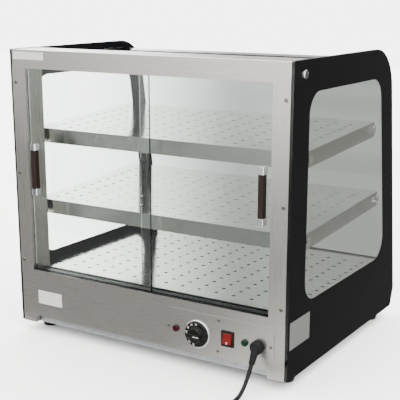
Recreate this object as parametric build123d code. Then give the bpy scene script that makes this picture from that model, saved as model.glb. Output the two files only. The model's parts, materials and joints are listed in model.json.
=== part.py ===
from build123d import *
import math
import os

# Hot food display case, in millimetres.
# While it is built, x = 0 is the middle of the width, y = 0 the front face of the base and
# z = 0 the surface that the feet stand on. export_node moves y to the middle of the depth.

os.makedirs("parts", exist_ok=True)

# Overall
case_width = 660.0
glass = 5.0
print_skin = 0.5
sheet = 1.2
half_width = case_width / 2
glass_inner = half_width - glass
frame_half = glass_inner - print_skin

# Heights above the surface
base_bottom = 22.0
apron_bottom = 39.0
base_top = 135.0
sill_top = 144.0
deck_top = 140.0
rail_bottom = 578.0
rail_top = 616.0
side_top = 617.0

# Side panels: upright front edge, rear edge leaning forward, rounded rear top corner
side_foot_depth = 529.0
side_depth = 543.0
side_bend_z = 63.0
rear_lean = 0.154
side_corner_r = 95.0

# Clear windows left in the black printed border of the side panels
window_front = 70.0
window_bottom = 158.0
window_top = 557.0
window_rear_inset = 58.0
window_front_r = 42.0
window_rear_r = 46.0

# Front frame
post_width = 35.0
post_depth = 53.0
post_top = 586.0
rail_depth = 75.0
opening_half = frame_half - post_width

# Sliding doors: the left one runs in the front groove, the right one in the rear groove
door_glass = 4.0
front_groove = 8.0
rear_groove = 29.0
groove_width = 6.0
door_gap = 1.5
door_overlap = 18.0
door_bottom = 139.0
door_top = 590.0
left_handle_x = -272.0
right_handle_x = 260.5
handle_z = 368.0
handle_length = 110.0
handle_width = 13.0
handle_depth = 14.5
handle_end = 14.0
grip_depth = 13.7

# Curved rear glass, set inside the side panels' outline
rear_inset = 20.0
rear_glass_front = 311.0
rear_glass_top = 600.5
rear_glass_bottom = 130.0

# Perforated shelves and deck
hole_r = 4.0
pitch_x = 41.0
pitch_y = 29.5
shelf_sheet = 1.0
shelf_half = 320.0
shelf_lip = 31.0
shelf_rise = 0.056
upper_shelf_front = (60.0, 447.0)
upper_shelf_length = 336.0
lower_shelf_front = (61.0, 290.0)
lower_shelf_length = 370.0
deck_front = 48.0
deck_rear = 486.0

# Control plate and what sits on it, as (x, z) on the front face
plate_skin = 1.0
plate_left, plate_right = 57.0, 303.0
plate_low, plate_high = 47.0, 125.0
red_lamp_at = (83.0, 83.0)
knob_at = (133.0, 80.5)
rocker_at = (202.0, 84.0)
green_lamp_at = (240.0, 84.0)
gland_at = (269.0, 82.0)
plate_screws_at = [(65.0, 86.0), (182.0, 118.0), (180.0, 54.0), (296.0, 86.0)]
knob_r = 25.5
knob_front = -21.0

# Mains cord
cord_r = 4.0
boot_end = (269.0, -27.0, 54.5)
boot_direction = (0.0, -0.5, -math.sqrt(3) / 2)
coil_centre = (324.0, -168.0)
coil_mid_r = 47.0
coil_width = 24.0
coil_height = 15.0
tie_skin = 0.8


def block(x0, x1, y0, y1, z0, z1):
    centre = ((x0 + x1) / 2, (y0 + y1) / 2, (z0 + z1) / 2)
    return Pos(*centre) * Box(x1 - x0, y1 - y0, z1 - z0)


def rod_x(r, x0, x1, y, z):
    return Pos((x0 + x1) / 2, y, z) * Rot(0, 90, 0) * Cylinder(r, x1 - x0)


def rod_y(r, y0, y1, x, z):
    return Pos(x, (y0 + y1) / 2, z) * Rot(90, 0, 0) * Cylinder(r, y1 - y0)


def rod_z(r, z0, z1, x, y):
    return Pos(x, y, (z0 + z1) / 2) * Cylinder(r, z1 - z0)


def section_x(points, radii, x0, x1):
    """A (y, z) outline with rounded corners, drawn out from x0 to x1."""
    outline = FilletPolyline(*points, radius=radii, close=True)
    return extrude(Plane.YZ.offset(x0) * make_face(outline), x1 - x0)


def mirrored(shape):
    return mirror(shape, about=Plane.YZ)


def group(*shapes):
    """Separate solids that share one node."""
    return Compound([solid for shape in shapes for solid in shape.solids()])


def export_node(name, shape):
    solids = [solid.moved(Location((0, -y_middle, 0))) for solid in shape.solids()]
    export_step(solids[0] if len(solids) == 1 else Compound(solids), f"parts/{name}.step")


def fuse(shapes):
    whole = shapes[0]
    for shape in shapes[1:]:
        whole += shape
    return whole


# ---------------------------------------------------------------- side panels


def rear_edge_y(z, inset=0.0):
    """Depth of the side panel's leaning rear edge at height z, less an inset square to it."""
    return side_depth - rear_lean * (z - side_bend_z) - inset * math.hypot(1, rear_lean)


def side_panel(x0, x1):
    points = [
        (0, base_bottom),
        (side_foot_depth, base_bottom),
        (side_depth, side_bend_z),
        (rear_edge_y(side_top), side_top),
        (0, side_top),
    ]
    return section_x(points, [3, 8, 12, side_corner_r, 3], x0, x1)


def side_window(x0, x1):
    points = [
        (window_front, window_bottom),
        (rear_edge_y(window_bottom, window_rear_inset), window_bottom),
        (rear_edge_y(window_top, window_rear_inset), window_top),
        (window_front, window_top),
    ]
    return section_x(points, [window_front_r, window_rear_r, window_rear_r, window_front_r], x0, x1)


y_middle = (knob_front + side_panel(0, glass).bounding_box().max.Y) / 2

cap_at = (42.0, 591.0)
cap_r = 8.0
cap_bolt_r = 3.0


def side_glass():
    panel = side_panel(glass_inner, half_width)
    return panel - rod_x(cap_bolt_r + 0.5, glass_inner - 1, half_width + 1, *cap_at)


def glass_border():
    skin = side_panel(frame_half, glass_inner) - side_window(frame_half - 1, glass_inner + 1)
    return skin - rod_x(cap_bolt_r + 0.5, frame_half - 1, glass_inner + 1, *cap_at)


def side_cap():
    """Domed cap nut outside the glass, on a bolt from the rail's end."""
    head = rod_x(cap_r, half_width, half_width + 3.5, *cap_at)
    head = fillet(head.edges().filter_by(GeomType.CIRCLE).sort_by(Axis.X)[-1], 2)
    return head + rod_x(cap_bolt_r, frame_half - sheet - 6, half_width, *cap_at)


# --------------------------------------------------------------- base housing


def panel_cutouts(y0, y1):
    """Holes for the controls, through the control plate and the front panel."""
    cuts = [rod_y(6.0, y0, y1, *red_lamp_at), rod_y(6.0, y0, y1, *green_lamp_at)]
    cuts.append(rod_y(4.0, y0, y1, *knob_at))
    cuts.append(rod_y(8.5, y0, y1, *gland_at))
    x, z = rocker_at
    cuts.append(block(x - 13, x + 13, y0, y1, z - 15, z + 15))
    cuts += [rod_y(1.6, y0, y1, *at) for at in plate_screws_at]
    return fuse(cuts)


leg_width = 36.0
apron_return = 14.0


def base_front_panel():
    """Folded sheet: front face with a raised bottom edge between two corner legs."""
    face = block(-frame_half, frame_half, 0, sheet, base_bottom, base_top)
    apron_half = frame_half - leg_width
    relief = block(-apron_half, apron_half, -1, sheet + 1, base_bottom - 1, apron_bottom)
    relief = fillet(relief.edges().filter_by(Axis.Y).sort_by(Axis.Z)[-2:], 5)
    face -= relief
    hem = block(-apron_half, apron_half, sheet, apron_return, apron_bottom, apron_bottom + sheet)
    top = block(-frame_half, frame_half, sheet, 46, base_top - sheet, base_top)
    return face + hem + top - panel_cutouts(-1, sheet + 1)


side_rear = 519.0


def base_side():
    """Side sheet of the base with an inward ledge for the deck and a bottom flange."""
    x_in = frame_half - sheet
    wall = block(x_in, frame_half, sheet, side_rear - sheet, base_bottom + sheet, base_top - sheet)
    ledge = block(x_in - 18, x_in, 60, side_rear - sheet, deck_top - 15 - sheet, deck_top - 15)
    leg = block(frame_half - leg_width, x_in, sheet, 10, base_bottom + sheet, apron_bottom)
    return wall + ledge + leg


def base_rear_panel():
    face = block(-frame_half, frame_half, side_rear - sheet, side_rear, base_bottom + sheet, base_top - 8)
    vents = [
        block(-200 + 50 * i, -170 + 50 * i, side_rear - 2 * sheet, side_rear + sheet, z, z + 4)
        for i in range(9)
        for z in (60.0, 72.0, 84.0)
    ]
    return face - fuse(vents)


def bottom_plate():
    """Floor sheet of the base, turned up behind the raised apron."""
    plate = block(-frame_half, frame_half, 12, side_rear, base_bottom, base_bottom + sheet)
    apron_half = frame_half - leg_width
    plate += block(-apron_half, apron_half, 12, 12 + sheet, base_bottom, apron_bottom)
    holes = [rod_z(2.6, base_bottom - 1, base_bottom + 3, x, y) for x, y in feet_at]
    return plate - fuse(holes)


foot_top_r = 22.0
foot_bottom_r = 17.0
foot_x = 298.0
feet_at = [(sx * foot_x, y) for y in (58.0, 478.0) for sx in (-1, 1)]


def rubber_foot(x, y):
    body = Pos(x, y, base_bottom / 2) * Cone(foot_bottom_r, foot_top_r, base_bottom)
    body = fillet(body.edges().filter_by(GeomType.CIRCLE).sort_by(Axis.Z)[0], 2)
    well = rod_z(6.5, -1, 9, x, y) + rod_z(2.6, 8, base_bottom + 1, x, y)
    return body - well


def foot_screw(x, y):
    head = rod_z(5.0, 5.5, 9, x, y)
    nut = Pos(x, y, base_bottom + sheet + 2) * extrude(RegularPolygon(4.6, 6), 2, both=True)
    return head + rod_z(2.5, 9, base_bottom + sheet + 5, x, y) + nut


# ---------------------------------------------------------------- front frame


def door_sill():
    """Front lip, floor under the door track and a low wall in front of the deck."""
    x = opening_half
    lip = block(-x, x, 0, sheet, base_top, sill_top)
    floor = block(-x, x, sheet, 46, base_top, base_top + sheet)
    wall = block(-x, x, 46 - sheet, 46, base_top, sill_top - 2)
    return lip + floor + wall


def track(floor_z, wall_z, tip):
    """Twin groove extrusion; tip is +1 with the grooves upward, -1 with them downward."""
    x = opening_half - 0.5
    body = block(-x, x, 3, 34, min(floor_z, wall_z), max(floor_z, wall_z))
    z0, z1 = sorted((floor_z + tip * 2.0, wall_z + tip * 1.0))
    for groove in (front_groove, rear_groove):
        body -= block(-x - 1, x + 1, groove - groove_width / 2, groove + groove_width / 2, z0, z1)
    return body


def top_rail():
    """Folded sheet: front face, flat top, rear drop and closed ends."""
    face = block(-frame_half, frame_half, 0, sheet, rail_bottom, rail_top)
    top = block(-frame_half, frame_half, sheet, rail_depth, rail_top - sheet, rail_top)
    under_top = rail_top - sheet
    drop = block(-frame_half, frame_half, rail_depth - sheet, rail_depth, rail_bottom + 12, under_top)
    end = block(frame_half - sheet, frame_half, sheet, rail_depth - sheet, rail_bottom + 2, under_top)
    end -= rod_x(cap_bolt_r + 0.2, frame_half - 10, frame_half + 1, *cap_at)
    shelf = block(-opening_half, opening_half, sheet, 46, door_top + 5, door_top + 5 + sheet)
    face = fillet((face + top).edges().filter_by(Axis.X).group_by(Axis.Z)[-1].sort_by(Axis.Y)[0], 1)
    return face + drop + end + mirrored(end) + shelf


post_screws_z = (164.0, 357.0, 549.0)
post_screw_x = 316.0
post_screw_r = 1.75


def front_post():
    """Right hand post: front face proud of the rail, inner web and rear return."""
    face = block(opening_half, frame_half, -sheet, 0, base_top, post_top)
    web = block(opening_half, opening_half + sheet, 0, post_depth, base_top, rail_bottom - 0.5)
    back_top = rail_bottom - 0.5
    back = block(opening_half + sheet, frame_half, post_depth - sheet, post_depth, base_top, back_top)
    for z in post_screws_z:
        face -= rod_y(post_screw_r, -5, 5, post_screw_x, z)
    return face + web + back


def pan_head(r, x, z, y_face, length, shank_r):
    head = rod_y(r, y_face - 0.45 * r, y_face, x, z)
    head = fillet(head.edges().filter_by(GeomType.CIRCLE).sort_by(Axis.Y)[0], 0.3 * r)
    cross = block(x - 0.55 * r, x + 0.55 * r, y_face - r, y_face - 0.25 * r, z - 0.1 * r, z + 0.1 * r)
    cross += block(x - 0.1 * r, x + 0.1 * r, y_face - r, y_face - 0.25 * r, z - 0.55 * r, z + 0.55 * r)
    return head - cross + rod_y(shank_r, y_face, y_face + length, x, z)


# -------------------------------------------------------------- top and glass


def top_panel():
    """Sloping lid from the rail's rear edge down to the curved glass, with folded edges."""
    y0, y1 = rail_depth, rear_glass_front - 2
    z0, z1 = rail_top - 1, rear_glass_top - 2
    lid = [(y0, z0), (y1, z1), (y1, z1 - 14), (y1 - sheet, z1 - 14)]
    lid += [(y1 - sheet, z1 - sheet), (y0 + sheet, z0 - sheet), (y0 + sheet, z0 - 14), (y0, z0 - 14)]
    return section_x(lid, [0, 0, 0, 0, 0, 0, 0, 0], -frame_half, frame_half)


def rear_glass_profile(x0, x1, bottom):
    """Flat crest, one bend and a straight leaning back, of even thickness."""
    def corner(inset, top):
        return rear_edge_y(top, inset), top

    outer = corner(rear_inset, rear_glass_top)
    inner = corner(rear_inset + glass, rear_glass_top - glass)
    points = [
        (rear_glass_front, rear_glass_top - glass),
        inner,
        (rear_edge_y(bottom, rear_inset + glass), bottom),
        (rear_edge_y(bottom, rear_inset), bottom),
        outer,
        (rear_glass_front, rear_glass_top),
    ]
    bend = side_corner_r - rear_inset
    return section_x(points, [0, bend - glass, 0, 0, bend, 0], x0, x1)


rear_glass_half = 322.0


def glass_side_seals():
    strip = rear_glass_profile(rear_glass_half, frame_half, base_top)
    return group(strip, mirrored(strip))


def glass_rest_bar():
    """Flat bar under the joint between the lid and the curved glass."""
    y, z = rear_glass_front, rear_glass_top - glass
    return block(-rear_glass_half, rear_glass_half, y, y + 22, z - 3, z)


def rear_glass_channel():
    """Folded channel on the base that holds the curved glass's lower edge."""
    floor_z = rear_glass_bottom - 3.2
    y0 = deck_rear + 0.5
    y1 = rear_edge_y(rear_glass_bottom, rear_inset) + 2.5
    floor = block(-shelf_half, shelf_half, y0, y1, floor_z, floor_z + sheet)
    front = block(-shelf_half, shelf_half, y0, y0 + sheet, floor_z, deck_top + 1)
    back = block(-shelf_half, shelf_half, y1 - sheet, y1, floor_z, deck_top - 2)
    return floor + front + back


def rear_glass_gasket():
    z = rear_glass_bottom
    y = rear_edge_y(z, rear_inset)
    return block(-shelf_half, shelf_half, y - glass - 1.5, y + 0.5, z - 2, z)


# ---------------------------------------------------------------------- doors


def door_pane(x0, x1, groove, handle):
    pane = block(x0, x1, groove - door_glass / 2, groove + door_glass / 2, door_bottom, door_top)
    for side in (-1, 1):
        z = handle_z + side * (handle_length - handle_end) / 2
        pane -= rod_y(2.5, groove - 5, groove + 5, handle, z)
    return pane


def handle_grip(x, groove):
    y_face = groove - door_glass / 2
    reach = handle_length / 2 - handle_end
    bar = block(x - handle_width / 2 + 0.5, x + handle_width / 2 - 0.5,
                y_face - handle_depth + 0.3, y_face - handle_depth + 0.3 + grip_depth,
                handle_z - reach, handle_z + reach)
    return fillet(bar.edges().filter_by(Axis.Z), 2)


def handle_ends(x, groove):
    y_face = groove - door_glass / 2
    ends = []
    for side in (-1, 1):
        z = handle_z + side * (handle_length - handle_end) / 2
        end = block(x - handle_width / 2, x + handle_width / 2, y_face - handle_depth, y_face,
                    z - handle_end / 2, z + handle_end / 2)
        ends.append(fillet(end.edges().filter_by(Axis.Z).sort_by(Axis.Y)[:2], 3))
    return group(*ends)


def handle_screws(x, groove):
    y_back = groove + door_glass / 2
    screws = []
    for side in (-1, 1):
        z = handle_z + side * (handle_length - handle_end) / 2
        head = rod_y(5.0, y_back, y_back + 1.3, x, z)
        screws.append(head + rod_y(2.0, y_back - door_glass, y_back, x, z))
    return group(*screws)


# -------------------------------------------------------------------- shelves


def perforated(x_half, y0, y1, z, skin, row_start, rows):
    """Plate from y0 to y1 whose top is at z, with a square set grid of round holes."""
    plate = block(-x_half, x_half, y0, y1, z - skin, z)
    columns = int((x_half - 25) // pitch_x)
    holes = [
        rod_z(hole_r, z - skin - 1, z + 1, pitch_x * i, row_start + pitch_y * j).solid()
        for i in range(-columns, columns + 1)
        for j in range(rows)
    ]
    return plate - holes


def tilted(shape, front):
    """Puts a level shelf piece, drawn from its own front top edge, at its slope in the case."""
    return Pos(0, front[0], front[1]) * Rot(math.degrees(math.atan(shelf_rise)), 0, 0) * shape


shelf_flange = 12.0


def shelf_rim(front, length):
    """Folded rim: front and side lips, with a flange all round that carries the plate."""
    x, t = shelf_half, shelf_sheet
    lips = block(-x, x, 0, t, -shelf_lip, 0)
    lips += block(x - t, x, t, length, -shelf_lip, 0)
    lips += block(-x, -x + t, t, length, -shelf_lip, 0)
    flange = block(-x + t, x - t, t, length, -2 * t, -t)
    hole_x = x - t - shelf_flange
    flange -= block(-hole_x, hole_x, t + shelf_flange, length - shelf_flange, -9, 9)
    return tilted(lips + flange, front)


def shelf_plate(front, length, rows):
    t = shelf_sheet
    plate = perforated(shelf_half - t - 0.2, t + 0.2, length, 0, t, 27, rows)
    return tilted(plate, front)


def shelf_studs(front, length):
    """Chrome studs on the side panels, each with a collar beside the lip and a peg under the flange."""
    studs = []
    for y in (22.0, length - 10):
        collar = rod_x(8.0, shelf_half + 0.1, frame_half, y, -14)
        studs.append(tilted(collar, front))
    return group(*studs, *[mirrored(stud) for stud in studs])


def deck_plate():
    plate = perforated(shelf_half, deck_front, deck_rear, deck_top, shelf_sheet, 88, 13)
    low = deck_top - 15
    t = shelf_sheet
    walls = block(-shelf_half, shelf_half, deck_front, deck_front + t, low + 3, deck_top - t)
    walls += block(-shelf_half, shelf_half, deck_rear - t, deck_rear, low + 3, deck_top - t)
    side = block(shelf_half - t, shelf_half, deck_front + t, deck_rear - t, low, deck_top - t)
    notch = block(opening_half - 0.5, half_width, 0, post_depth + 0.5, low - 1, deck_top + 1)
    return plate + walls + side + mirrored(side) - notch - mirrored(notch)


# -------------------------------------------------------------------- heating


pan_half = 300.0
pan_front, pan_rear = 62.0, 470.0
pan_floor = 76.0
pan_rim = deck_top - 15 - sheet


def heat_pan():
    """Open tray under the deck, hung by its flanges from the ledges on the base sides."""
    t = shelf_sheet
    outer = block(-pan_half, pan_half, pan_front, pan_rear, pan_floor, pan_rim)
    inner = block(-pan_half + t, pan_half - t, pan_front + t, pan_rear - t, pan_floor + t, pan_rim + 1)
    flange = block(pan_half, frame_half - sheet - 1, pan_front, pan_rear, pan_rim - t, pan_rim)
    pan = outer - inner + flange + mirrored(flange)
    for y in heater_leg_y:
        pan -= rod_x(4.3, pan_half - 3, pan_half + 1, y, heater_z)
    return pan


heater_z = 98.0
heater_r = 4.0
heater_leg_y = [130.0, 210.0, 300.0, 380.0]


def heating_elements():
    """Two hairpin sheathed elements whose ends pass through the pan's right hand wall."""
    elements = []
    for y0, y1 in ((130.0, 210.0), (300.0, 380.0)):
        bend_r = (y1 - y0) / 2
        x_bend = -220.0
        x_end = pan_half + 10
        path = FilletPolyline(
            (x_end, y0, heater_z), (x_bend - bend_r, y0, heater_z),
            (x_bend - bend_r, y1, heater_z), (x_end, y1, heater_z),
            radius=bend_r - 0.5,
        )
        disc = Plane(origin=(x_end, y0, heater_z), x_dir=(0, 1, 0), z_dir=(-1, 0, 0)) * Circle(heater_r)
        elements.append(sweep(disc, path=path))
    return group(*elements)


def heater_clips():
    clips = []
    for x in (-150.0, 120.0):
        for y in heater_leg_y:
            foot = block(x - 6, x + 6, y - 12, y + 12, pan_floor + shelf_sheet, pan_floor + 2 * shelf_sheet)
            post = block(x - 6, x + 6, y - 5.5, y + 5.5, pan_floor + 2 * shelf_sheet, heater_z + 5.5)
            post -= rod_x(heater_r + 0.1, x - 7, x + 7, y, heater_z)
            clips.append(foot + post)
    return group(*clips)


def heater_terminals():
    ends = []
    for y in heater_leg_y:
        x = pan_half + 10
        nut = rod_x(6.5, pan_half, pan_half + 4, y, heater_z)
        nut -= rod_x(heater_r, pan_half - 1, pan_half + 5, y, heater_z)
        pin = rod_x(1.5, x, x + 8, y, heater_z)
        ends += [nut, pin]
    return group(*ends)


# ------------------------------------------------------------------- controls


def control_plate():
    plate = block(plate_left, plate_right, -plate_skin, 0, plate_low, plate_high)
    plate = fillet(plate.edges().filter_by(Axis.Y), 12)
    return plate - panel_cutouts(-5, 5)


def control_plate_screws():
    screws = [pan_head(3.2, x, z, -plate_skin, 6, 1.5) for x, z in plate_screws_at]
    return group(*screws)


def pilot_lamp(at):
    lens = rod_y(7.0, -plate_skin - 5, -plate_skin, *at)
    lens = fillet(lens.edges().filter_by(GeomType.CIRCLE).sort_by(Axis.Y)[0], 2.5)
    return lens + rod_y(5.8, -plate_skin, 18, *at)


def knob_bezel():
    ring = rod_y(knob_r + 3, -plate_skin - 3.2, -plate_skin, *knob_at)
    ring = fillet(ring.edges().filter_by(GeomType.CIRCLE).sort_by(Axis.Y)[0], 1.5)
    return ring - rod_y(knob_r + 0.7, -9, 0, *knob_at)


def thermostat_knob():
    """Flat skirt for the numerals, and a round grip with a narrow raised bar across it."""
    x, z = knob_at
    y_back = -plate_skin - 0.6
    skirt = rod_y(knob_r, -8, y_back, x, z)
    skirt = fillet(skirt.edges().filter_by(GeomType.CIRCLE).sort_by(Axis.Y)[0], 1.2)
    grip = rod_y(15.5, knob_front + 5, -8, x, z)
    bar = block(x - 15, x + 15, knob_front, knob_front + 5, z - 4.5, z + 4.5)
    bar = fillet(bar.edges().filter_by(Axis.Y), 4)
    bore = rod_y(3.0, -14, 0, x, z)
    return skirt + grip + bar - bore


def thermostat_shaft():
    return rod_y(3.0, -14, 12, *knob_at)


def thermostat_body():
    x, z = knob_at
    body = block(x - 17, x + 17, sheet, 34, z - 17, z + 17)
    body = fillet(body.edges().filter_by(Axis.Y), 3)
    return body - rod_y(3.08, 0, 14, x, z)


bulb_y, bulb_z = 255.0, 92.0


def thermostat_bulb():
    """Capillary from the thermostat's back over the pan's rim to a bulb between the elements."""
    x, z = knob_at
    over = pan_rim + 6
    path = FilletPolyline((x, 34, z), (x, 56, z), (x, 56, over), (x, 80, over), (x, 80, bulb_z),
                          (x, bulb_y, bulb_z), (x + 20, bulb_y, bulb_z), radius=5)
    disc = Plane(origin=(x, 34, z), x_dir=(1, 0, 0), z_dir=(0, 1, 0)) * Circle(1.0)
    return sweep(disc, path=path) + rod_x(3.5, x + 20, x + 100, bulb_y, bulb_z)


bezel_half = (14.0, 16.0)
rocker_well = (10.5, 12.4)
rocker_half = (9.8, 11.0)
rocker_lean = -10.0


def rocker_switch_housing():
    x, z = rocker_at
    (a, b), (c, d) = bezel_half, rocker_well
    bezel = block(x - a, x + a, -plate_skin - 2, -plate_skin, z - b, z + b)
    bezel = fillet(bezel.edges().filter_by(Axis.Y), 1.5)
    body = block(x - 12.8, x + 12.8, -plate_skin, 22, z - 14.8, z + 14.8)
    well = block(x - c, x + c, -plate_skin - 3, 14, z - d, z + d)
    return bezel + body - well


def rocker():
    """Rocker with two flat faces meeting at a shallow valley, leaning on its pivot."""
    x, z = rocker_at
    half_w, half_h = rocker_half
    outline = [(-5.6, half_h), (-4.2, 0), (-5.6, -half_h), (1.5, -half_h), (5.0, -4), (5.0, 4)]
    outline.append((1.5, half_h))
    solid = section_x(outline, [1.2, 0, 1.2, 0, 0, 0, 0], -half_w, half_w)
    pins = rod_x(1.2, -half_w - 0.6, half_w + 0.6, 0, 0)
    return Pos(x, 0, z) * Rot(rocker_lean, 0, 0) * (solid + pins)


def switch_terminals():
    x, z = rocker_at
    blades = [block(x - 3.2, x + 3.2, 22, 31, z + s * 8 - 0.4, z + s * 8 + 0.4) for s in (-1, 0, 1)]
    return group(*blades)


def terminal_block():
    body = block(225, 285, 20, 44, base_bottom + sheet, base_bottom + sheet + 16)
    for i in range(4):
        body -= rod_z(2.5, base_bottom + sheet + 8, base_bottom + sheet + 20, 234 + 14 * i, 32)
    return body


# ----------------------------------------------------------------- mains cord


def cord_gland():
    """Domed cable gland with a tapered boot that points the cord down."""
    x, z = gland_at
    dome = rod_y(13.5, -15, -plate_skin, x, z)
    dome = fillet(dome.edges().filter_by(GeomType.CIRCLE).sort_by(Axis.Y)[0], 6)
    stem = rod_y(8.0, -plate_skin, 12, x, z)
    boot_length = 36.0
    start = Vector(*boot_end) - Vector(*boot_direction) * boot_length
    middle = (Vector(*boot_end) + start) * 0.5
    boot = Plane(origin=middle, z_dir=boot_direction, x_dir=(1, 0, 0)) * Cone(8.5, 5.6, boot_length)
    boot -= block(x - 20, x + 20, -plate_skin, 30, z - 40, z + 40)
    return dome + stem + boot


def gland_locknut():
    x, z = gland_at
    nut = extrude(Plane.XZ.offset(-sheet) * Pos(x, z) * RegularPolygon(13, 6), -5)
    return nut - rod_y(8.0, 0, 12, x, z)


cord_points = [
    boot_end,
    (269.0, -56.2, cord_r),
    (266.0, -112.0, cord_r),
    (269.0, -168.0, cord_r + tie_skin),
]


def corner_radius(before, corner, after):
    """0.45 of the shorter run over the tangent of half the turn, the largest smooth arc."""
    a = Vector(*corner) - Vector(*before)
    b = Vector(*after) - Vector(*corner)
    turn = math.radians(a.get_angle(b))
    return 0.45 * min(a.length, b.length) / math.tan(turn / 2)


def power_cord():
    radii = [corner_radius(*cord_points[i - 1:i + 2]) for i in range(1, len(cord_points) - 1)]
    path = FilletPolyline(*cord_points, radius=radii)
    disc = Plane(origin=boot_end, x_dir=(1, 0, 0), z_dir=boot_direction) * Circle(cord_r)
    tube = sweep(disc, path=path)
    print("cord corner radii", [round(r, 1) for r in radii])
    swept = math.pi * cord_r**2 * path.length
    print("cord volume", round(tube.volume), "section times length", round(swept))
    return tube


def cord_coil():
    x, y = coil_centre
    outer = coil_mid_r + coil_width / 2
    z0, z1 = tie_skin, tie_skin + coil_height
    ring = rod_z(outer, z0, z1, x, y) - rod_z(outer - coil_width, z0 - 1, z1 + 1, x, y)
    return fillet(ring.edges().filter_by(GeomType.CIRCLE), 3.5)


tie_angle = 60.0


def cord_tie():
    x, y = coil_centre
    slack = 0.5
    outer = Box(coil_width + 2 * (tie_skin + slack), 9, coil_height + 2 * tie_skin)
    band = outer - Box(coil_width + 2 * slack, 10, coil_height)
    band = Pos(coil_mid_r, 0, coil_height / 2 + tie_skin) * band
    return Pos(x, y, 0) * Rot(0, 0, tie_angle) * band


plug_turn = 20.0
plug_r = 18.5
plug_start = (362.0, -212.8)


def placed_plug(shape):
    """The plug lies on the surface with its axis along local x, clear of its rim."""
    return Pos(*plug_start, plug_r) * Rot(0, 0, plug_turn) * shape


def plug_body():
    relief = Pos(11, 0, 0) * Rot(0, 90, 0) * Cone(5.6, 8.5, 22)
    neck = Pos(27, 0, 0) * Rot(0, 90, 0) * Cone(11, plug_r, 10)
    barrel = Pos(44, 0, 0) * Rot(0, 90, 0) * Cylinder(plug_r, 24)
    barrel = fillet(barrel.edges().filter_by(GeomType.CIRCLE).sort_by(Axis.X)[-1], 2)
    return placed_plug(relief + neck + barrel)


def plug_pins():
    pins = [Pos(56 + 9.5, 9.5 * s, 0) * Rot(0, 90, 0) * Cylinder(2.4, 19) for s in (-1, 1)]
    pins = [fillet(pin.edges().filter_by(GeomType.CIRCLE).sort_by(Axis.X)[-1], 1.5) for pin in pins]
    return group(*[placed_plug(pin) for pin in pins])


# --------------------------------------------------------------------- labels


label_skin = 0.3


def front_label(x0, x1, z0, z1):
    plate = block(x0, x1, -label_skin, 0, z0, z1)
    return fillet(plate.edges().filter_by(Axis.Y), 1.5)


def side_label(y0, y1, z0, z1):
    return block(half_width, half_width + label_skin, y0, y1, z0, z1)


# -------------------------------------------------------------------- writing


print("middle of the depth", round(y_middle, 3))
left_pane = (-(opening_half - door_gap), door_overlap, front_groove)
right_pane = (-door_overlap, opening_half - door_gap, rear_groove)

export_node("right_side_glass", side_glass())
export_node("left_side_glass", mirrored(side_glass()))
export_node("right_glass_border", glass_border())
export_node("left_glass_border", mirrored(glass_border()))
export_node("side_glass_caps", group(side_cap(), mirrored(side_cap())))

export_node("base_front_panel", base_front_panel())
export_node("right_base_side", base_side())
export_node("left_base_side", mirrored(base_side()))
export_node("base_rear_panel", base_rear_panel())
export_node("bottom_plate", bottom_plate())
export_node("rubber_feet", group(*[rubber_foot(*at) for at in feet_at]))
export_node("foot_screws", group(*[foot_screw(*at) for at in feet_at]))

export_node("door_sill", door_sill())
export_node("lower_door_track", track(base_top + sheet, sill_top + 1, 1))
export_node("upper_door_track", track(door_top + 5, door_top - 10, -1))
export_node("top_rail", top_rail())
export_node("right_post", front_post())
export_node("left_post", mirrored(front_post()))
right_screws = [pan_head(4.0, post_screw_x, z, -sheet, 8, 1.6) for z in post_screws_z]
export_node("post_screws", group(*right_screws, *[mirrored(screw) for screw in right_screws]))

export_node("top_panel", top_panel())
rear_pane = rear_glass_profile(-rear_glass_half, rear_glass_half, rear_glass_bottom)
export_node("curved_rear_glass", rear_pane)
export_node("rear_glass_seals", group(glass_side_seals(), rear_glass_gasket()))
export_node("glass_rest_bar", glass_rest_bar())
export_node("rear_glass_channel", rear_glass_channel())

for side, (x0, x1, groove) in (("left", left_pane), ("right", right_pane)):
    x = right_handle_x if side == "right" else left_handle_x
    export_node(f"{side}_door_glass", door_pane(x0, x1, groove, x))
    export_node(f"{side}_handle_grip", handle_grip(x, groove))
    export_node(f"{side}_handle_ends", group(handle_ends(x, groove), handle_screws(x, groove)))

export_node("upper_shelf_rim", shelf_rim(upper_shelf_front, upper_shelf_length))
export_node("upper_shelf_plate", shelf_plate(upper_shelf_front, upper_shelf_length, 10))
export_node("lower_shelf_rim", shelf_rim(lower_shelf_front, lower_shelf_length))
export_node("lower_shelf_plate", shelf_plate(lower_shelf_front, lower_shelf_length, 11))
upper_studs = shelf_studs(upper_shelf_front, upper_shelf_length)
export_node("shelf_studs", group(upper_studs, shelf_studs(lower_shelf_front, lower_shelf_length)))
export_node("deck_plate", deck_plate())

export_node("heat_pan", heat_pan())
export_node("heating_elements", heating_elements())
export_node("heater_clips", heater_clips())

export_node("control_plate", control_plate())
export_node("control_plate_screws", control_plate_screws())
export_node("red_pilot_lamp", pilot_lamp(red_lamp_at))
export_node("green_pilot_lamp", pilot_lamp(green_lamp_at))
export_node("knob_bezel", knob_bezel())
export_node("thermostat_knob", thermostat_knob())
export_node("thermostat_shaft", thermostat_shaft())
export_node("thermostat_body", thermostat_body())
export_node("thermostat_bulb", thermostat_bulb())
export_node("rocker_switch_housing", rocker_switch_housing())
export_node("rocker", rocker())
export_node("wire_terminals", group(heater_terminals(), switch_terminals()))
export_node("terminal_block", terminal_block())

export_node("cord_gland", cord_gland())
export_node("gland_locknut", gland_locknut())
export_node("power_cord", power_cord())
export_node("cord_coil", cord_coil())
export_node("cord_tie", cord_tie())
export_node("plug_body", plug_body())
export_node("plug_pins", plug_pins())

name_label = front_label(-321, -239, 596, 612)
maker_label = front_label(-280, -214, 69, 99)
rating_label = side_label(8, 92, 83, 137)
export_node("blank_labels", group(name_label, maker_label, rating_label))
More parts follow.
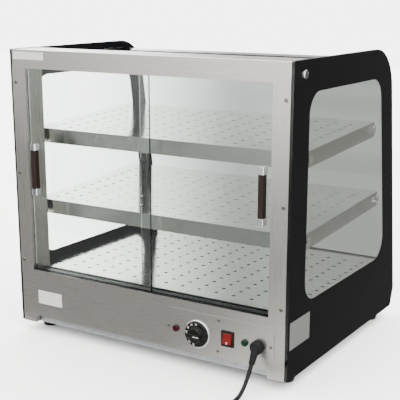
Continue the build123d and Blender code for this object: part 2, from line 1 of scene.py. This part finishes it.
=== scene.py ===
import math
import json
import bpy
import bmesh
from mathutils import Matrix, Vector


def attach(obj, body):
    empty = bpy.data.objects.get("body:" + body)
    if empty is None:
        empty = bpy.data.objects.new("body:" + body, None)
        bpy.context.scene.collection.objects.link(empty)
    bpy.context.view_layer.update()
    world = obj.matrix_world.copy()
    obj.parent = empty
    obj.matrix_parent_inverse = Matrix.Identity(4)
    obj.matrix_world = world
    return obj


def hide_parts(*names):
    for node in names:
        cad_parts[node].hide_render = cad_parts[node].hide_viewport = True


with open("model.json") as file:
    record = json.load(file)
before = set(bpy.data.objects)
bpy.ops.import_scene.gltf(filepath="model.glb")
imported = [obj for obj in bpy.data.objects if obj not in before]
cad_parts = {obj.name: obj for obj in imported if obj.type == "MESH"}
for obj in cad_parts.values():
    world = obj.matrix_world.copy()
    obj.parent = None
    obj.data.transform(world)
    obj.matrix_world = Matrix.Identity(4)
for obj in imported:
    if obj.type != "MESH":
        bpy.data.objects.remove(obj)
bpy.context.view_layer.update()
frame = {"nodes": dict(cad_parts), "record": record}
nodes = frame["nodes"]
mm = 0.001


def linear(hexColour):
    # sRGB hex to linear colour
    channels = [int(hexColour[i:i + 2], 16) / 255 for i in (1, 3, 5)]
    return [c / 12.92 if c <= 0.04045 else ((c + 0.055) / 1.055) ** 2.4 for c in channels] + [1.0]


def addNode(tree, kind, inputs, **settings):
    # one node with its settings; an input is either a constant or the socket that feeds it
    node = tree.nodes.new(kind)
    for name, value in settings.items():
        setattr(node, name, value)
    for socket, value in inputs.items():
        if isinstance(value, bpy.types.NodeSocket):
            tree.links.new(value, node.inputs[socket])
        else:
            node.inputs[socket].default_value = value
    return node


# ------------------------------------------------------------ camera and cord

cameraView = {
    "place": (1.0534, -1.7142, 0.7344),
    "turn": 32.3,
    "down": 14.6,
    "lens": 83.7,
    "shift": (0.004, 0.081),
}


def makeCamera(view):
    data = bpy.data.cameras.new("camera")
    data.lens = view["lens"]
    data.shift_x, data.shift_y = view["shift"]
    camera = bpy.data.objects.new("camera", data)
    camera.location = view["place"]
    camera.rotation_euler = (math.radians(90 - view["down"]), 0, math.radians(view["turn"]))
    bpy.context.scene.collection.objects.link(camera)
    bpy.context.scene.camera = camera


makeCamera(cameraView)
print("camera placed")

# Mains cord: down from the gland, along the floor, then a coil of two layers and a short tail
mainsCord = {
    "diameter": 8 * mm,
    "length": 1.45,
    "route": [(0.269, -0.28785, 0.0545), (0.269, -0.31705, 0.004),
              (0.266, -0.37285, 0.004), (0.269, -0.42885, 0.0048)],
    "coilCentre": (0.324, -0.42885),
    "low": 4.8 * mm,
    "rise": 8.1 * mm,
    "outer": 55 * mm,
    "inner": 39 * mm,
    "turnsIn": 1.93,
    "turnsUp": 0.42,
    "turns": 4.3056,
    "perTurn": 16,
    "tail": [(0.3615, -0.47365, 0.0178), (0.3690, -0.4709, 0.0185)],
}


def coilPoint(cord, turn):
    # the cord after so many turns: inwards on the floor, up, then outwards on top
    risen = cord["turnsIn"] + cord["turnsUp"]
    if turn < cord["turnsIn"]:
        radius = cord["outer"] + (cord["inner"] - cord["outer"]) * turn / cord["turnsIn"]
    else:
        onTop = max(turn - risen, 0) / (cord["turns"] - risen)
        radius = cord["inner"] + (cord["outer"] - cord["inner"]) * onTop
    lift = min(max((turn - cord["turnsIn"]) / cord["turnsUp"], 0), 1)
    angle = math.pi + 2 * math.pi * turn
    x, y = cord["coilCentre"]
    height = cord["low"] + cord["rise"] * lift * lift * (3 - 2 * lift)
    return x + radius * math.cos(angle), y + radius * math.sin(angle), height


def makeCord(cord):
    steps = int(cord["turns"] * cord["perTurn"])
    points = cord["route"] + [coilPoint(cord, i / cord["perTurn"]) for i in range(1, steps + 1)]
    points += cord["tail"]
    curve = bpy.data.curves.new("mainsCord", "CURVE")
    curve.dimensions = "3D"
    # the points' radius carries the thickness, so that the curve's box is the cord's own
    curve.bevel_depth = 1.0
    curve.bevel_resolution = 4
    curve.resolution_u = 8
    curve.use_fill_caps = True
    spline = curve.splines.new("NURBS")
    spline.points.add(len(points) - 1)
    for control, place in zip(spline.points, points):
        control.co = (*place, 1)
        control.radius = cord["diameter"] / 2
    spline.order_u = 3
    spline.use_endpoint_u = True
    flex = bpy.data.objects.new("mainsCord", curve)
    bpy.context.scene.collection.objects.link(flex)
    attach(flex, "case")
    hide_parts("power_cord", "cord_coil")
    return flex


flex = makeCord(mainsCord)
print("cord laid")

# ------------------------------------------------------------------ materials


def startMaterial(name, colour, roughness, metallic=0.0, **more):
    material = bpy.data.materials.new(name)
    material.use_nodes = True
    shader = material.node_tree.nodes["Principled BSDF"]
    shader.inputs["Base Color"].default_value = linear(colour)
    shader.inputs["Roughness"].default_value = roughness
    shader.inputs["Metallic"].default_value = metallic
    for socket, value in more.items():
        shader.inputs[socket].default_value = value
    return material


def grainOf(tree, scale, detail=3.0, stretch=(1, 1, 1)):
    # noise in object metres, with its scale per metre on each axis
    place = addNode(tree, "ShaderNodeTexCoord", {})
    stretched = addNode(tree, "ShaderNodeMapping", {"Vector": place.outputs["Object"], "Scale": stretch})
    return addNode(tree, "ShaderNodeTexNoise", {"Vector": stretched.outputs["Vector"], "Scale": scale,
                                                "Detail": detail, "Roughness": 0.6}).outputs["Fac"]


def varyRoughness(material, grain, low, high):
    tree = material.node_tree
    spread = addNode(tree, "ShaderNodeMapRange", {"Value": grain, "From Min": 0.3, "From Max": 0.7,
                                                  "To Min": low, "To Max": high})
    tree.links.new(spread.outputs["Result"], tree.nodes["Principled BSDF"].inputs["Roughness"])


def varyColour(material, grain, first, second):
    tree = material.node_tree
    tone = addNode(tree, "ShaderNodeMix", {"Factor": grain, 6: linear(first), 7: linear(second)},
                   data_type="RGBA")
    tree.links.new(tone.outputs[2], tree.nodes["Principled BSDF"].inputs["Base Color"])


def addBump(material, grain, strength, distance):
    tree = material.node_tree
    bump = addNode(tree, "ShaderNodeBump", {"Height": grain, "Strength": strength, "Distance": distance})
    tree.links.new(bump.outputs["Normal"], tree.nodes["Principled BSDF"].inputs["Normal"])


def brushedSteel(name, stretch, first, second, low, high):
    # 304 stainless with a brushed finish: the eye gets long faint streaks and soft stretched reflections
    material = startMaterial(name, first, low, metallic=1.0)
    tree = material.node_tree
    # scratches 0.2 mm apart, drawn 1.2 mm apart so that they show
    streaks = grainOf(tree, 1.0, stretch=stretch)
    varyColour(material, streaks, first, second)
    varyRoughness(material, streaks, low, high)
    addBump(material, streaks, 0.15, 0.03 * mm)
    return material


def plainMaterial(name, first, second, low, high, scale, bump=0.0, distance=0.1 * mm, **more):
    # a solid colour with a slight change of tone and shine over it
    material = startMaterial(name, first, low, **more)
    grain = grainOf(material.node_tree, scale)
    varyColour(material, grain, first, second)
    varyRoughness(material, grain, low, high)
    if bump:
        addBump(material, grain, bump, distance)
    return material


def glassMaterial(name, first, second):
    # toughened float glass: clear on its faces, green down its edges
    material = startMaterial(name, first, 0.0, IOR=1.45, **{"Transmission Weight": 1.0,
                                                            "Specular IOR Level": 0.25})
    varyColour(material, grainOf(material.node_tree, 4.0, detail=1.0), first, second)
    return material


steelAcross = brushedSteel("steelAcross", (12, 800, 800), "#b9b6b0", "#a9a6a0", 0.24, 0.36)
steelUpright = brushedSteel("steelUpright", (800, 800, 12), "#b9b6b0", "#a9a6a0", 0.24, 0.36)
steelSide = brushedSteel("steelSide", (800, 12, 800), "#b9b6b0", "#a9a6a0", 0.24, 0.36)
# shelves and deck: bright rolled steel, nearly a mirror with a slight haze
brightSteel = plainMaterial("brightSteel", "#d3d2ce", "#c6c5c1", 0.10, 0.17, 9.0, metallic=1.0)
# the same sheet on the turned down lips, a little duller, and darker as painted shade
shadedLipSteel = plainMaterial("shadedLipSteel", "#b9b8b4", "#adaca8", 0.14, 0.22, 9.0, metallic=1.0)
topSteel = plainMaterial("topSteel", "#dcdbd7", "#d0cfcb", 0.16, 0.24, 9.0, metallic=1.0)
galvanised = plainMaterial("galvanised", "#a3a5a6", "#83878a", 0.35, 0.55, 90.0, 0.1, metallic=1.0)
chrome = plainMaterial("chrome", "#dedede", "#d2d2d3", 0.05, 0.12, 60.0, metallic=1.0)
# plated screws gone a little dull
screwSteel = plainMaterial("screwSteel", "#77756f", "#67655f", 0.25, 0.35, 300.0, metallic=1.0)
clearGlass = glassMaterial("clearGlass", "#f6fbf8", "#f4faf6")
# right pane: the same glass with a faint grey tint
tintedGlass = glassMaterial("tintedGlass", "#dddeda", "#dbdcd8")
# black ceramic print on the inside of the side panes, seen as a gloss black band
blackPrint = plainMaterial("blackPrint", "#0b0b0c", "#0d0d0f", 0.4, 0.45, 8.0)
blackPrint.node_tree.nodes["Principled BSDF"].inputs["Specular IOR Level"].default_value = 0
soft = {"Specular IOR Level": 0.15}
rubber = plainMaterial("rubber", "#060607", "#0a0a0b", 0.55, 0.75, 500.0, 0.2, **soft)
blackPlastic = plainMaterial("blackPlastic", "#0a0a0b", "#0f0f10", 0.32, 0.45, 700.0, 0.1, **soft)
# milky silicone bead
silicone = plainMaterial("silicone", "#8d8e8c", "#777877", 0.45, 0.6, 60.0)
# phenolic grip in dark brown with a satin skin
brownGrip = plainMaterial("brownGrip", "#150c0a", "#1c110e", 0.34, 0.42, 40.0, **soft)
# alloy sheath darkened by heat, straw and blue in patches
heaterSheath = plainMaterial("heaterSheath", "#5d564d", "#46464d", 0.35, 0.55, 35.0, metallic=1.0)
redLens = plainMaterial("redLens", "#24030a", "#1c0207", 0.12, 0.2, 300.0, **soft)
greenLens = plainMaterial("greenLens", "#04200f", "#03180b", 0.12, 0.2, 300.0, **soft)
# moulded phenolic knob, polished
knobBlack = plainMaterial("knobBlack", "#080807", "#0c0c0b", 0.2, 0.3, 90.0, **soft)
whitePlastic = plainMaterial("whitePlastic", "#dedbd2", "#d0ccc1", 0.35, 0.5, 80.0)
brass = plainMaterial("brass", "#c2a15a", "#a98744", 0.22, 0.36, 80.0, metallic=1.0)
redRocker = plainMaterial("redRocker", "#520502", "#480401", 0.25, 0.35, 200.0, **soft)
# soft PVC sheath: matt with a slight sheen
cordBlack = plainMaterial("cordBlack", "#050506", "#09090a", 0.4, 0.5, 300.0, 0.08, **soft)
# satin polyester label, left blank
labelFilm = plainMaterial("labelFilm", "#9a9996", "#90908d", 0.3, 0.42, 50.0)
# thin white ink of the numerals, the pointer and the off mark
whitePrint = plainMaterial("whitePrint", "#a9a9a5", "#9f9f9b", 0.4, 0.5, 400.0)


def greySideLabel(material, sideColour, sideStart):
    # the rating label, beyond sideStart along X, is coloured greyer than the two in front
    tree = material.node_tree
    shader = tree.nodes["Principled BSDF"]
    place = addNode(tree, "ShaderNodeTexCoord", {}).outputs["Object"]
    sideways = addNode(tree, "ShaderNodeSeparateXYZ", {"Vector": place}).outputs["X"]
    onSide = addNode(tree, "ShaderNodeMath", {0: sideways, 1: sideStart},
                     operation="GREATER_THAN").outputs["Value"]
    frontFilm = shader.inputs["Base Color"].links[0].from_socket
    film = addNode(tree, "ShaderNodeMix", {"Factor": onSide, 6: frontFilm, 7: linear(sideColour)},
                   data_type="RGBA")
    tree.links.new(film.outputs[2], shader.inputs["Base Color"])


greySideLabel(labelFilm, "#4d4e4c", 328 * mm)


def paintShadeOffTop(material, paintedShadeColour):
    # painted shade: the walls of the punched holes and the underside, every face not turned up, get a dark
    # colour and a dull roughness; the top stays bright
    tree = material.node_tree
    shader = tree.nodes["Principled BSDF"]
    facing = addNode(tree, "ShaderNodeNewGeometry", {}).outputs["True Normal"]
    upwards = addNode(tree, "ShaderNodeSeparateXYZ", {"Vector": facing}).outputs["Z"]
    flat = addNode(tree, "ShaderNodeMapRange", {"Value": upwards, "From Min": 0.3, "From Max": 0.7})
    colourFrom = shader.inputs["Base Color"].links[0].from_socket
    roughFrom = shader.inputs["Roughness"].links[0].from_socket
    tone = addNode(tree, "ShaderNodeMix", {"Factor": flat.outputs["Result"], 6: linear(paintedShadeColour),
                                           7: colourFrom}, data_type="RGBA")
    rough = addNode(tree, "ShaderNodeMix", {"Factor": flat.outputs["Result"], 2: 0.6, 3: roughFrom})
    tree.links.new(tone.outputs[2], shader.inputs["Base Color"])
    tree.links.new(rough.outputs[0], shader.inputs["Roughness"])


plateSteel = plainMaterial("plateSteel", "#dddcd8", "#d2d1cd", 0.10, 0.15, 9.0, metallic=1.0)
# painted shade in the holes and under the shelf and deck plates
paintShadeOffTop(plateSteel, "#1d1d1b")

finishes = {
    "clear_glass": clearGlass,
    "black_print": blackPrint,
    "chrome": chrome,
    "stainless": steelAcross,
    "polished_steel": brightSteel,
    "galvanised": galvanised,
    "rubber": rubber,
    "black_plastic": blackPlastic,
    "silicone": silicone,
    "brown_grip": brownGrip,
    "heater_sheath": heaterSheath,
    "red_lens": redLens,
    "green_lens": greenLens,
    "black_gloss": knobBlack,
    "white_plastic": whitePlastic,
    "brass": brass,
    "red_rocker": redRocker,
    "cord_black": cordBlack,
    "label_film": labelFilm,
}
otherFinish = {
    "right_side_glass": tintedGlass,
    "post_screws": screwSteel,
    "control_plate_screws": screwSteel,
    "right_base_side": steelSide,
    "left_base_side": steelSide,
    "right_post": steelUpright,
    "left_post": steelUpright,
    "top_panel": topSteel,
    "upper_shelf_plate": plateSteel,
    "lower_shelf_plate": plateSteel,
    "deck_plate": plateSteel,
    "upper_shelf_rim": shadedLipSteel,
    "lower_shelf_rim": shadedLipSteel,
}


def paintNodes():
    # every CAD node gets the finish of its slot in the record, or its own
    for part in frame["record"]["subparts"]:
        node = nodes[part["node"]]
        node.data.materials.clear()
        node.data.materials.append(otherFinish.get(part["node"], finishes[part["material_slot"]]))


def bondToGlass(name, depth):
    # the print bites a hair into the glass, as fired ink does, so that no two faces share one plane
    swell = nodes[name].modifiers.new("bond", "DISPLACE")
    swell.strength = depth
    swell.mid_level = 0


paintNodes()
bondToGlass("right_glass_border", 0.1 * mm)
bondToGlass("left_glass_border", 0.1 * mm)
flex.data.materials.append(cordBlack)
print("finishes set")

# ----------------------------------------------------------------- small parts


def finishPiece(name, shape, materials, body):
    bmesh.ops.recalc_face_normals(shape, faces=shape.faces)
    mesh = bpy.data.meshes.new(name)
    shape.to_mesh(mesh)
    shape.free()
    for material in materials:
        mesh.materials.append(material)
    piece = bpy.data.objects.new(name, mesh)
    bpy.context.scene.collection.objects.link(piece)
    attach(piece, body)
    return piece


# Thermostat knob, 51 mm across: a flat skirt for the numerals and a grip with a bar across it
knob = {
    "centre": (0.133, 0.0805),
    "panel": -0.260846,
    "profile": [(0, 14.2), (3.05, 14.2), (3.05, 1.6), (25.0, 1.6), (25.5, 2.1), (25.5, 7.2), (25.2, 7.8),
                (24.6, 8.0), (17.2, 8.0), (16.2, 8.4), (15.6, 9.4), (15.1, 14.8), (14.7, 15.6), (13.9, 16.0),
                (0, 16.0)],
    "bar": (29.0, 8.6, 5.2),
    "front": 21.0,
    "pointer": (1.0, 14.0, 1.2),
    "numerals": ["30", "40", "50", "60", "70", "80", "90"],
    "numeralRadius": 21.2,
    "numeralHeight": 5.4,
    "firstAngle": 88,
    "lastAngle": 258,
}


def makeKnob(part):
    x, z = part["centre"]
    shape = bmesh.new()
    corners = [shape.verts.new((r * mm, -y * mm, 0)) for r, y in part["profile"]]
    edges = [shape.edges.new(pair) for pair in zip(corners, corners[1:])]
    bmesh.ops.spin(shape, geom=corners + edges, cent=(0, 0, 0), axis=(0, 1, 0), angle=2 * math.pi, steps=96,
                   use_merge=True)
    bmesh.ops.remove_doubles(shape, verts=shape.verts, dist=0.001 * mm)
    for face in shape.faces:
        face.smooth = True
    long, wide, deep = part["bar"]
    middle = Matrix.Translation((0, -(part["front"] - deep / 2) * mm, 0))
    size = Matrix.Diagonal((long * mm, deep * mm, wide * mm, 1))
    bar = bmesh.ops.create_cube(shape, size=1.0, matrix=middle @ size)["verts"]
    barEdges = {edge for vert in bar for edge in vert.link_edges}
    bmesh.ops.bevel(shape, geom=list(barEdges), offset=1.4 * mm, segments=4, affect="EDGES", profile=0.5,
                    material=-1)
    bmesh.ops.translate(shape, verts=shape.verts, vec=(x, part["panel"], z))
    piece = finishPiece("knob", shape, [knobBlack], "knob")
    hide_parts("thermostat_knob")


def printedText(text, height, thick):
    # a numeral as a thin solid, centred, in its own XY plane
    data = bpy.data.curves.new("numeral", "FONT")
    data.body = text
    data.size = height
    data.extrude = thick / 2
    data.align_x = "CENTER"
    data.align_y = "CENTER"
    holder = bpy.data.objects.new("numeral", data)
    bpy.context.scene.collection.objects.link(holder)
    mesh = bpy.data.meshes.new_from_object(holder)
    bpy.data.objects.remove(holder)
    return mesh


def makeKnobMarks(part):
    x, z = part["centre"]
    shape = bmesh.new()
    # the numerals lie on the skirt, upright along the radius
    upright = Matrix.Rotation(math.radians(90), 4, "X")
    count = len(part["numerals"]) - 1
    for i, text in enumerate(part["numerals"]):
        angle = part["firstAngle"] + (part["lastAngle"] - part["firstAngle"]) * i / count
        mesh = printedText(text, part["numeralHeight"] * mm, 0.1 * mm)
        outwards = Matrix.Rotation(math.radians(angle - 90), 4, "Z")
        place = upright @ outwards @ Matrix.Translation((0, part["numeralRadius"] * mm, 8.04 * mm))
        mesh.transform(place)
        shape.from_mesh(mesh)
    start, end, wide = part["pointer"]
    middle = Matrix.Translation(((start + end) / 2 * mm, -part["front"] * mm, 0))
    size = Matrix.Diagonal(((end - start) * mm, 0.1 * mm, wide * mm, 1))
    bmesh.ops.create_cube(shape, size=1.0, matrix=middle @ size)
    bmesh.ops.translate(shape, verts=shape.verts, vec=(x, part["panel"], z))
    finishPiece("knobMarks", shape, [whitePrint], "knob")


makeKnob(knob)
makeKnobMarks(knob)
print("knob made")

# Rocker key: the off mark, a ring printed on its lower half
rockerMark = {"at": (0.202, 0.0765), "radius": 1.7, "line": 0.35}


def makeRockerMark(mark):
    x, z = mark["at"]
    hit, place, normal, _ = nodes["rocker"].ray_cast(Vector((x, -0.4, z)), Vector((0, 1, 0)))
    shape = bmesh.new()
    section = bmesh.ops.create_circle(shape, segments=8, radius=mark["line"] * mm,
                                      matrix=Matrix.Translation((mark["radius"] * mm, 0, 0))
                                      @ Matrix.Rotation(math.radians(90), 4, "X"))["verts"]
    edges = list({edge for vert in section for edge in vert.link_edges})
    bmesh.ops.spin(shape, geom=section + edges, cent=(0, 0, 0), axis=(0, 0, 1), angle=2 * math.pi, steps=32,
                   use_merge=True)
    bmesh.ops.scale(shape, verts=shape.verts, vec=(1, 1, 0.3))
    tilt = normal.to_track_quat("Z", "Y").to_matrix().to_4x4()
    bmesh.ops.transform(shape, verts=shape.verts, matrix=Matrix.Translation(place) @ tilt)
    finishPiece("rockerMark", shape, [whitePrint], "rocker_key")


makeRockerMark(rockerMark)
print("rocker marked")

# ----------------------------------------------------------- lights and floor

studio = {
    "floorSize": 14.0,
    "floorColour": "#f6f6f4",
    "base": 0.75,
    "top": 1.7,
    "back": 0.45,
    "backwards": (-0.53, 0.85, 0.0),
    "strength": 4.5,
}


def smoothStep(tree, value, start, end, low, high):
    return addNode(tree, "ShaderNodeMapRange", {"Value": value, "From Min": start, "From Max": end,
                                                "To Min": low, "To Max": high},
                   interpolation_type="SMOOTHSTEP").outputs["Result"]


def makeWorld(settings):
    # pale everywhere, brighter overhead and behind the case
    world = bpy.data.worlds.new("studio")
    world.use_nodes = True
    tree = world.node_tree
    direction = addNode(tree, "ShaderNodeTexCoord", {}).outputs["Generated"]
    height = addNode(tree, "ShaderNodeSeparateXYZ", {"Vector": direction}).outputs["Z"]
    behind = addNode(tree, "ShaderNodeVectorMath", {0: direction, 1: settings["backwards"]},
                     operation="DOT_PRODUCT").outputs["Value"]
    overhead = smoothStep(tree, height, 0.25, 0.9, settings["base"], settings["top"])
    rear = smoothStep(tree, behind, 0.2, 0.85, 0.0, settings["back"])
    total = addNode(tree, "ShaderNodeMath", {0: overhead, 1: rear}, operation="ADD").outputs["Value"]
    total = addNode(tree, "ShaderNodeMath", {0: total, 1: settings["strength"]},
                    operation="MULTIPLY").outputs["Value"]
    background = tree.nodes["Background"]
    background.inputs["Color"].default_value = (1, 1, 1, 1)
    tree.links.new(total, background.inputs["Strength"])
    bpy.context.scene.world = world


def addStagePlane(name, size, matrix, material):
    mesh = bpy.data.meshes.new(name)
    shape = bmesh.new()
    bmesh.ops.create_grid(shape, x_segments=1, y_segments=1, size=0.5,
                          matrix=matrix @ Matrix.Diagonal((size[0], size[1], 1, 1)))
    shape.to_mesh(mesh)
    shape.free()
    mesh.materials.append(material)
    plane = bpy.data.objects.new(name, mesh)
    bpy.context.scene.collection.objects.link(plane)
    return plane


def cardMaterial(name, across, upwards=None):
    # a reflector card, shaded along X and, if it stands up, along Z
    material = bpy.data.materials.new(name)
    material.use_nodes = True
    tree = material.node_tree
    shader = tree.nodes["Principled BSDF"]
    shader.inputs["Base Color"].default_value = (0, 0, 0, 1)
    shader.inputs["Specular IOR Level"].default_value = 0
    shader.inputs["Emission Color"].default_value = (1, 1, 1, 1)
    place = addNode(tree, "ShaderNodeTexCoord", {}).outputs["Object"]
    axes = addNode(tree, "ShaderNodeSeparateXYZ", {"Vector": place}).outputs
    glow = smoothStep(tree, axes["X"], *across)
    if upwards:
        rising = smoothStep(tree, axes["Z"], *upwards)
        glow = addNode(tree, "ShaderNodeMath", {0: glow, 1: rising}, operation="MULTIPLY").outputs["Value"]
    tree.links.new(glow, shader.inputs["Emission Strength"])
    return material


def addCard(name, size, matrix, material, throughGlass):
    # it only shows in reflections, and through glass if it says so
    card = addStagePlane(name, size, matrix, material)
    card.visible_camera = False
    card.visible_diffuse = False
    card.visible_transmission = throughGlass
    card.visible_shadow = False
    return card


def makeStudio(settings):
    makeWorld(settings)
    # pale matt paper
    paper = plainMaterial("floorPaper", settings["floorColour"], settings["floorColour"], 0.8, 0.85, 3.0)
    size = settings["floorSize"]
    addStagePlane("floor", (size, size), Matrix.Identity(4), paper)
    upright = Matrix.Rotation(math.radians(90), 4, "X")
    sideways = Matrix.Rotation(math.radians(90), 4, "Y")
    front = cardMaterial("frontCard", (-1.4, 0.0, 1.1, 3.4), (0.1, 0.5, 0.22, 1.0))
    addCard("frontCard", (4.0, 1.6), Matrix.Translation((-0.9, -1.3, 0.8)) @ upright, front, True)
    low = cardMaterial("lowCard", (-0.05, 0.3, 0.5, 1.8))
    addCard("lowCard", (4.0, 1.0), Matrix.Translation((-0.9, -0.79, 0.0015)), low, True)
    side = cardMaterial("sideCard", (0.0, 1.0, 0.15, 0.15))
    addCard("sideCard", (1.2, 2.4), Matrix.Translation((0.5, 0.95, 0.6)) @ sideways, side, False)
    addCard("sideLowCard", (1.1, 2.4), Matrix.Translation((0.9, 0.8, 0.0015)), side, False)
    # a dimmer card beside the case, for what leaves through the side glass
    beside = cardMaterial("besideCard", (0.0, 1.0, 0.8, 0.8))
    besideCard = addCard("besideCard", (1.2, 2.4), Matrix.Translation((0.52, 0.95, 0.6)) @ sideways,
                         beside, True)
    besideCard.visible_glossy = False
    rear = cardMaterial("rearCard", (-0.8, -0.15, 6.0, 0.8), (0.0, 0.6, 0.9, 1.0))
    addCard("rearCard", (1.2, 1.2), Matrix.Translation((-0.26, 0.45, 0.6)) @ upright, rear, True)


makeStudio(studio)
print("studio lit")
